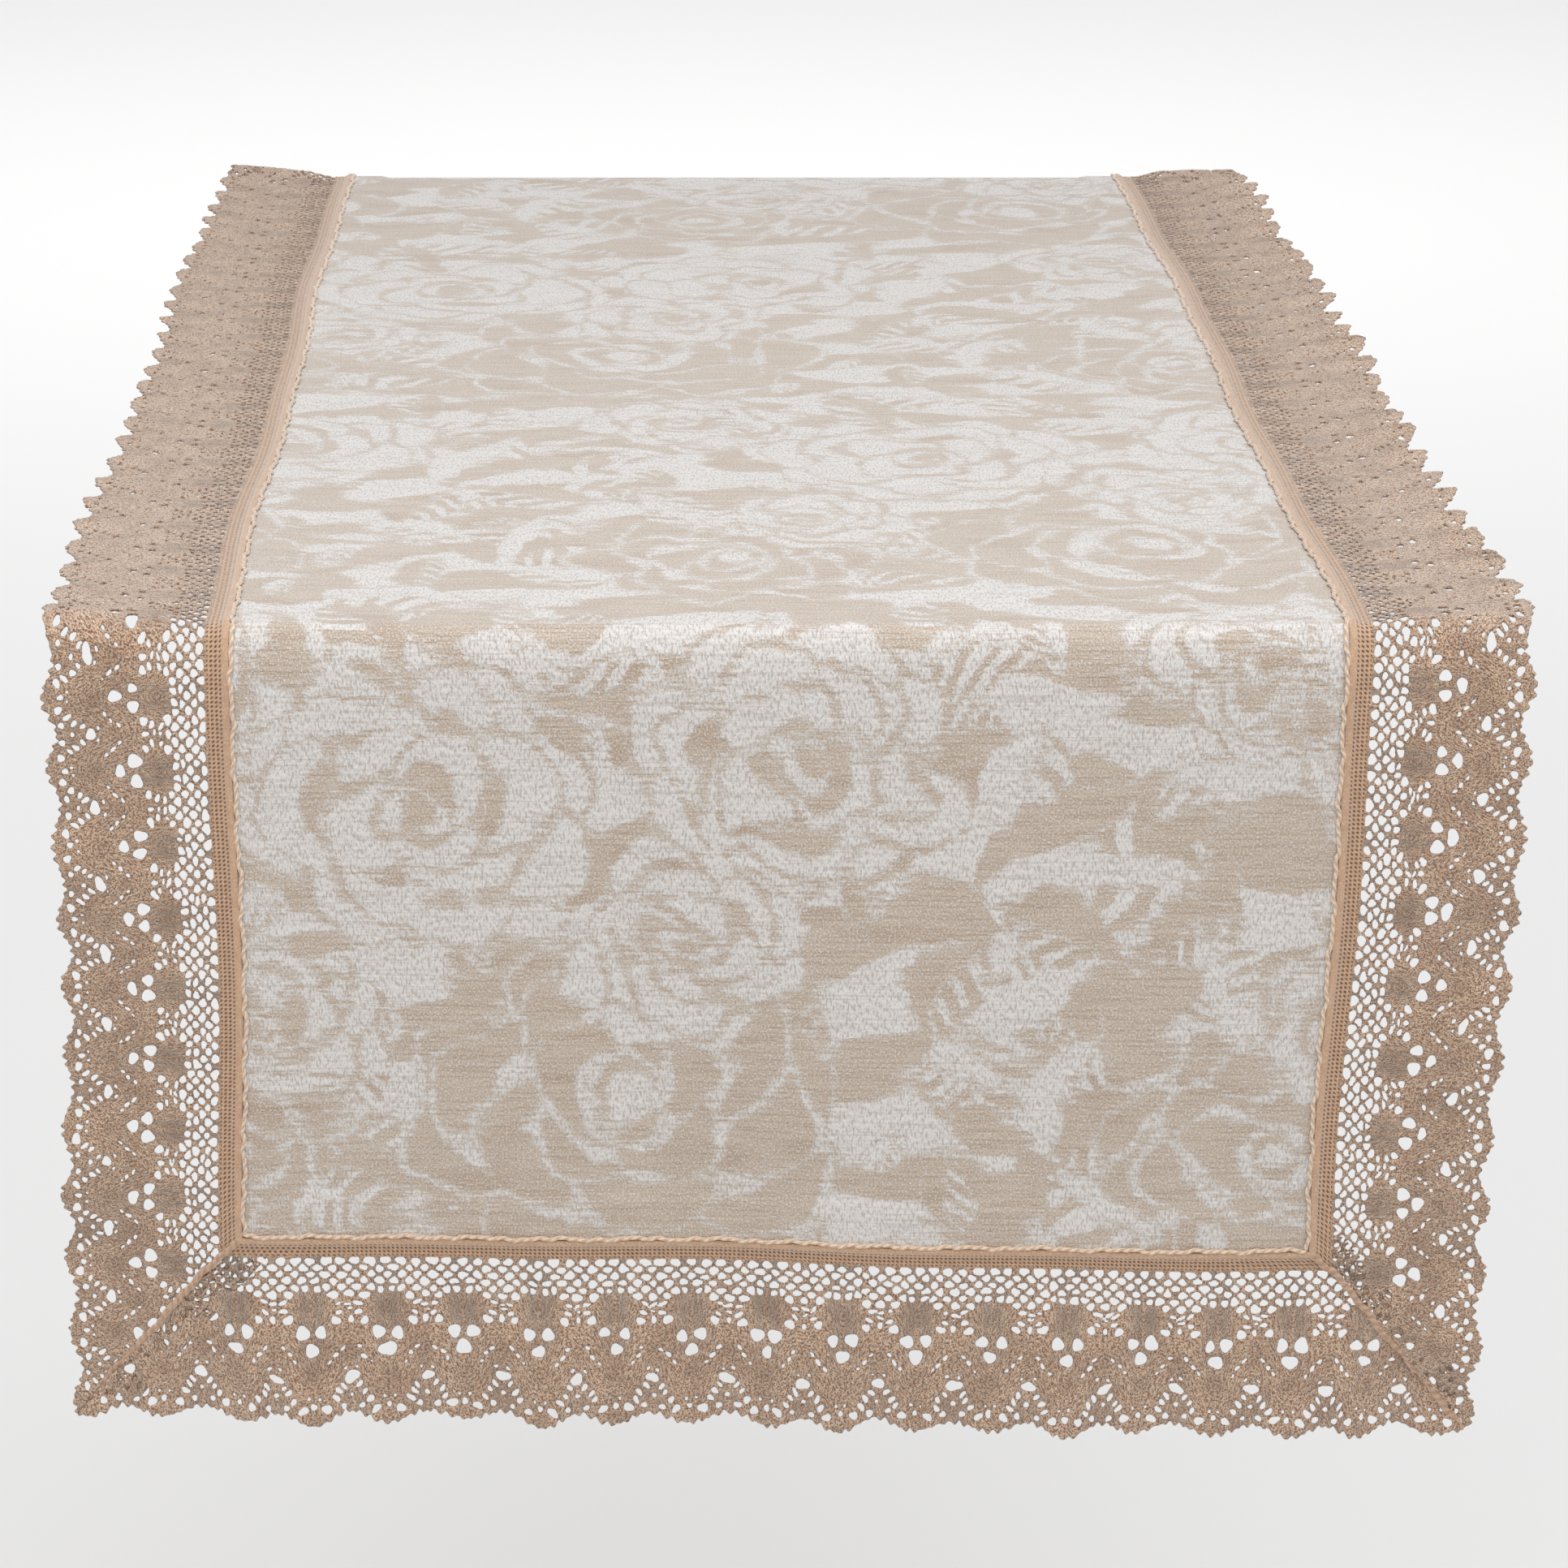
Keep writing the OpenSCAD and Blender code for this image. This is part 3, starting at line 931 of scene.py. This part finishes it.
def end_lace(end):
    limit = HALF_W + LACE_W + 1
    v = np.arange(-limit, limit + LACE_GRID / 2, LACE_GRID)
    field = lace_field(LACE_U, v, END_PITCH, END_PHASE)
    field = np.minimum(field, (HALF_W + LACE_U[None] - np.abs(v)[:, None]) * 0.7)
    thickness = lace_thickness(LACE_U, v, END_PITCH, END_PHASE)
    place = lace_place(place_end(end), end_height)
    middle = np.searchsorted(v, 0)
    name = END_NAME[end]
    for label, i in [("left", slice(0, middle + 1)), ("right", slice(middle, len(v)))]:
        piece = lace_solid(
            f"bobbin_lace_{name}_{label}", LACE_U, v[i], field[i], thickness[i], place,
            END_PITCH, END_PHASE,
        )
        on_drop(piece, end, "lace", f"lace_end_{name}")


TURNING_W = reach("allowance_right_front", 1, 2) + PANEL_DROP + END_BAND_W


def turning(side, end):
    """The lace turned back behind a corner's mitre."""
    u = np.arange(BAND_W - 3, LACE_W - 4, LACE_GRID)
    behind_end = (side == LEFT) == (end == FRONT)
    if behind_end:
        v = np.sort(side * np.arange(HALF_W - 10, HALF_W + LACE_W, LACE_GRID))
        inside = HALF_W + u[None] - np.abs(v)[:, None]
        place, height = place_end(end), end_height
    else:
        v = np.sort(end * np.arange(PANEL_END - 10, PANEL_END + END_LACE_W, LACE_GRID))
        inside = mitre_t(u)[None] - np.abs(v)[:, None]
        place, height = place_side(side), side_height(side, -PANEL_END - SIDE_PHASE[side])
    tip = v[0] + 6
    field = lace_field(u, v, REPEAT, tip)
    field = np.minimum(field, np.minimum(inside, TURNING_W - inside) * 0.7)
    field = np.minimum(field, (LACE_W - 5 - u)[None])
    thickness = 0.8 * lace_thickness(u, v, REPEAT, tip)
    behind = lace_place(place, lambda a, b: height(a, b) - 0.6)
    name = corner_name(side, end)
    piece = lace_solid(f"turning_{name}", u, v, field, thickness, behind, REPEAT, tip)
    on_drop(piece, end, "lace", f"allowance_{name}")


# ---- Materials ----

class Nodes:
    """Short calls for building one material's nodes."""

    def __init__(self, name):
        self.material = bpy.data.materials.new(name)
        self.material.use_nodes = True
        self.tree = self.material.node_tree
        self.shader = self.tree.nodes["Principled BSDF"]

    def add(self, kind, inputs=None, **settings):
        node = self.tree.nodes.new(kind)
        for key, value in settings.items():
            setattr(node, key, value)
        for key, value in (inputs or {}).items():
            self.put(node.inputs[key], value)
        return node

    def put(self, socket, value):
        if isinstance(value, bpy.types.NodeSocket):
            self.tree.links.new(value, socket)
        else:
            socket.default_value = value

    def attribute(self, name, output="Vector"):
        return self.add("ShaderNodeAttribute", attribute_name=name).outputs[output]

    def noise(self, layout, x, y, detail, roughness=0.5, turn=0.0):
        """Noise with about x and y patches to a unit of the layout."""
        inputs = {"Vector": layout, "Rotation": (0, 0, turn), "Scale": (x, y, 0)}
        vector = self.add("ShaderNodeMapping", inputs).outputs["Vector"]
        inputs = {"Vector": vector, "Scale": 1.0, "Detail": detail, "Roughness": roughness}
        return self.add("ShaderNodeTexNoise", inputs).outputs["Fac"]

    def math(self, operation, a, b=0.0, c=0.0):
        node = self.add("ShaderNodeMath", operation=operation)
        for socket, value in zip(node.inputs, (a, b, c)):
            self.put(socket, value)
        return node.outputs[0]

    def between(self, value, low, high, to_low=0.0, to_high=1.0):
        inputs = {
            "Value": value, "From Min": low, "From Max": high, "To Min": to_low, "To Max": to_high,
        }
        node = self.add("ShaderNodeMapRange", inputs, interpolation_type="SMOOTHSTEP")
        return node.outputs["Result"]

    def mix(self, factor, a, b):
        return self.add("ShaderNodeMix", {0: factor, 6: a, 7: b}, data_type="RGBA").outputs[2]

    def split(self, vector):
        return self.add("ShaderNodeSeparateXYZ", {"Vector": vector}).outputs

    def bump(self, height, distance):
        inputs = {"Height": height, "Distance": distance, "Strength": 1.0}
        return self.add("ShaderNodeBump", inputs).outputs["Normal"]

    def finish(self, color, roughness, normal=None, sheen=0.0, tint=(1, 1, 1, 1)):
        """Sets the shader. The sheen is the fibre ends that catch the light at a slant."""
        inputs = {
            "Base Color": color, "Roughness": roughness, "Specular IOR Level": 0.25,
            "Sheen Weight": sheen, "Sheen Roughness": 0.5, "Sheen Tint": tint,
        }
        if normal:
            inputs["Normal"] = normal
        for key, value in inputs.items():
            self.put(self.shader.inputs[key], value)
        return self.material


def srgb(*values):
    """A colour from its 0 to 255 screen values."""
    linear = [(v / 255 / 12.92) if v < 10 else ((v / 255 + 0.055) / 1.055) ** 2.4 for v in values]
    return (*linear, 1.0)


WHITE_YARN = srgb(236, 233, 230)
BEIGE_YARN = srgb(210, 194, 177)
SLUB_YARN = srgb(184, 157, 132)
RUST_YARN = srgb(182, 136, 106)
GAP_SHADE = srgb(176, 162, 150)
LACE_YARN = srgb(232, 187, 150)
LACE_SHADE = srgb(143, 95, 63)
# Pale yarn of the whipping cord, also used as the painted highlight on the lace's and the band's threads.
PALE_YARN_AND_HIGHLIGHT = srgb(251, 224, 195)
BAND_YARN = srgb(213, 176, 144)
BAND_SHADE = srgb(192, 152, 122)
BAND_GAP_SHADE = srgb(96, 62, 42)


def jacquard(name, face):
    """White warp floats over a beige linen weft; face is 1 on the right side and -1 on the reverse."""
    m = Nodes(name)
    cloth = m.attribute("cloth")
    figure_mm = m.math("MULTIPLY", m.attribute("figure", "Fac"), face)
    floats = m.noise(cloth, 17, 5.4, 2, 0.6, turn=0.2)
    specks = m.noise(cloth, 19, 15, 2, 0.6)
    ragged = m.noise(cloth, 1.3, 8, 2)
    patch = m.between(m.noise(cloth, 0.33, 0.55, 1), 0.5, 0.72, 1.0, 0.3)

    held = m.add("ShaderNodeClamp", {"Value": figure_mm, "Min": -2.4, "Max": 2.4}).outputs[0]
    held = m.math("MULTIPLY", held, patch)
    edge = m.math("MULTIPLY_ADD", ragged, 5.0, -2.5)
    edge = m.math("ADD", edge, m.math("MULTIPLY_ADD", floats, 3.2, -1.6))
    whiteness = m.between(m.math("ADD", held, edge), -0.9, 0.9)

    slub = m.between(m.noise(cloth, 0.4, 13, 3, 0.65), 0.46, 0.68)
    browner = m.between(m.noise(cloth, 0.3, 0.9, 3), 0.5, 0.72)
    rust = m.between(m.noise(cloth, 1.2, 12, 3), 0.6, 0.76)
    beige = m.mix(m.math("MULTIPLY", slub, 0.65), BEIGE_YARN, SLUB_YARN)
    beige = m.mix(m.math("MULTIPLY", browner, 0.5), beige, SLUB_YARN)
    beige = m.mix(m.math("MULTIPLY", rust, 0.5), beige, RUST_YARN)
    beige = m.mix(m.between(specks, 0.5, 0.64, 0.0, 0.75), beige, WHITE_YARN)
    beige = m.mix(m.between(specks, 0.34, 0.47, 0.5, 0.0), beige, SLUB_YARN)
    # Painted shade in the slits between the warp floats.
    white = m.mix(m.between(floats, 0.36, 0.52, 0.6, 0.0), WHITE_YARN, GAP_SHADE)
    white = m.mix(m.math("MULTIPLY", slub, 0.35), white, GAP_SHADE)
    color = m.mix(whiteness, beige, white)

    weft = m.math("MULTIPLY_ADD", specks, 2.2, m.math("MULTIPLY", slub, 0.5))
    warp = m.math("MULTIPLY_ADD", floats, 2.6, 0.5)
    height = m.add("ShaderNodeMix", {0: whiteness, 2: weft, 3: warp}, data_type="FLOAT").outputs[0]
    roughness = m.between(whiteness, 0, 1, 0.88, 0.6)
    return m.finish(color, roughness, m.bump(height, 0.0003), sheen=0.6)


def lace_material():
    """Twisted linen threads that follow the trail and turn round the eyes and the spiders."""
    m = Nodes("bobbin_lace")
    layout = m.attribute("lace")
    depth = m.attribute("depth", "Fac")
    ring = m.attribute("ring", "Fac")
    v, side = m.split(layout)[1:]
    trail = m.add("ShaderNodeCombineXYZ", {"X": side, "Y": v}).outputs[0]
    threads = m.noise(trail, 2.0, 1.2, 1, 0.6)
    grain = m.noise(layout, 2.1, 2.1, 1, 0.6)
    uneven = m.noise(layout, 0.08, 0.08, 3)
    wound = m.math("ADD", m.math("MULTIPLY", ring, 2 * math.pi / 1.15), m.math("MULTIPLY", uneven, 14.0))
    rings = m.math("MULTIPLY", m.math("SINE", wound), m.between(ring, 1.2, 3.2, 0.08, 0.0))
    woven = m.math("ADD", m.math("ADD", threads, grain), rings)

    # Painted shade where the threads' relief is low, painted highlight where it is high.
    color = m.mix(m.between(woven, 0.82, 1.02, 0.95, 0.0), LACE_YARN, LACE_SHADE)
    color = m.mix(m.between(woven, 0.99, 1.12, 0.0, 0.95), color, PALE_YARN_AND_HIGHLIGHT)
    color = m.mix(m.between(uneven, 0.4, 0.7, 0.0, 0.3), color, LACE_SHADE)
    color = m.mix(m.between(ring, 0.5, 3.8, 0.25, 0.0), color, LACE_SHADE)
    # Painted shade along the edges of the holes.
    color = m.mix(m.between(depth, 0.0, 0.22, 0.6, 0.0), color, LACE_SHADE)
    return m.finish(color, 0.85, m.bump(woven, 0.0014), sheen=0.9, tint=(1, 0.97, 0.93, 1))


def band_material():
    """An open linen tape: pale threads, with painted shade in the small gaps between them."""
    m = Nodes("heading_band")
    layout = m.attribute("band")
    gap = m.split(layout)[2]
    uneven = m.noise(layout, 0.5, 0.25, 3)
    fibre = m.noise(layout, 1.5, 1.5, 3, 0.7)
    color = m.mix(m.between(uneven, 0.35, 0.7, 0.0, 0.6), BAND_YARN, BAND_SHADE)
    # Painted shade on the fibres' low spots and painted highlight on their high spots.
    color = m.mix(m.between(fibre, 0.34, 0.5, 0.7, 0.0), color, BAND_SHADE)
    color = m.mix(m.between(fibre, 0.52, 0.7, 0.0, 0.5), color, PALE_YARN_AND_HIGHLIGHT)
    # Painted shade in the gaps of the open weave.
    painted_gap_shade = m.math("MULTIPLY", m.between(gap, 0.22, 0.6), m.between(fibre, 0.35, 0.55, 0.6, 1.0))
    color = m.mix(painted_gap_shade, color, BAND_GAP_SHADE)
    return m.finish(color, 0.85, m.bump(fibre, 0.0004), sheen=1.0, tint=(1, 0.97, 0.93, 1))


def cord_material(name, light, shade):
    """Two-ply linen thread."""
    m = Nodes(name)
    layout = m.attribute("thread")
    along, angle = m.split(layout)[:2]
    twist = m.math("MULTIPLY", along, 2 * math.pi / CORD_TWIST)
    ply = m.math("SINE", m.math("SUBTRACT", m.math("MULTIPLY", angle, 2), twist))
    fibre = m.noise(layout, 1.1, 1.1, 3)
    # Painted shade in the groove between the two plies.
    color = m.mix(m.between(ply, -1, 0.1, 0.35, 0.0), light, LACE_SHADE)
    color = m.mix(m.between(fibre, 0.4, 0.7, 0.0, 0.4), color, shade)
    return m.finish(color, 0.85, m.bump(ply, 0.0002), sheen=1.0)


JACQUARD = jacquard("jacquard", 1)
JACQUARD_BACK = jacquard("jacquard_back", -1)
LACE = lace_material()
BAND = band_material()
CORD = cord_material("whipping_cord", PALE_YARN_AND_HIGHLIGHT, BAND_SHADE)
SEAM = cord_material("corner_seam", BAND_YARN, LACE_SHADE)


# ---- The runner ----

for end in (FRONT, BACK):
    panel(end)
    end_hem(end)
    end_band(end)
    end_cord(end)
    end_lace(end)
    for side in (LEFT, RIGHT):
        side_hem(side, end)
        side_band(side, end)
        side_cord(side, end)
        mitre_cord(side, end)
        turning(side, end)
for side in (LEFT, RIGHT):
    side_lace(side)


# ---- Floor, light and camera ----

FLOOR_Z = -0.75


def floor():
    bpy.ops.mesh.primitive_plane_add(size=50, location=(0, 0, FLOOR_Z))
    plane = bpy.context.object
    plane.name = "floor"
    m = Nodes("floor")
    m.finish((0.95, 0.945, 0.94, 1), 0.9)
    plane.data.materials.append(m.material)


def area_light(name, place, aim, size, power, color):
    light = bpy.data.lights.new(name, "AREA")
    light.shape = "RECTANGLE"
    light.size, light.size_y = size
    light.energy = power
    light.color = color
    direction = Vector(aim) - Vector(place)
    put_in_scene(name, light, place, direction.to_track_quat("-Z", "Y").to_euler())


def overhead(strength, color):
    """Soft light from above, a little from the right and the front, the same over the whole floor."""
    light = bpy.data.lights.new("overhead", "SUN")
    light.energy = strength
    light.color = color
    light.angle = math.radians(70)
    put_in_scene("overhead", light, rotation=(math.radians(-6), math.radians(12), 0))


def world(strength):
    sky = bpy.data.worlds.new("studio")
    sky.use_nodes = True
    background = sky.node_tree.nodes["Background"].inputs
    background["Color"].default_value = (1, 1, 1, 1)
    background["Strength"].default_value = strength
    bpy.context.scene.world = sky


def camera():
    lens = bpy.data.cameras.new("camera")
    lens.lens = 97.6
    lens.sensor_width = 36
    lens.shift_x = 0.107
    lens.clip_end = 60
    eye = put_in_scene("camera", lens, (-0.0467, -1.3835, 0.366), (math.radians(69.5), 0, 0))
    bpy.context.scene.camera = eye


floor()
overhead(0.89, (0.98, 0.985, 1))
area_light("softbox", (0, -0.7, 1.15), (0, -0.2, 0), (1.2, 0.9), 9, (0.98, 0.985, 1))
area_light("front_fill", (-0.8, -2.6, 0.8), (0, -0.2, -0.1), (2.0, 1.6), 3.1, (1, 0.77, 0.57))
area_light("backdrop", (0, 3.2, 1.3), (0, 4.4, -0.75), (3.5, 1.0), 20, (1, 1, 1))
world(0.5)
camera()
bpy.context.scene.view_settings.view_transform = "Standard"
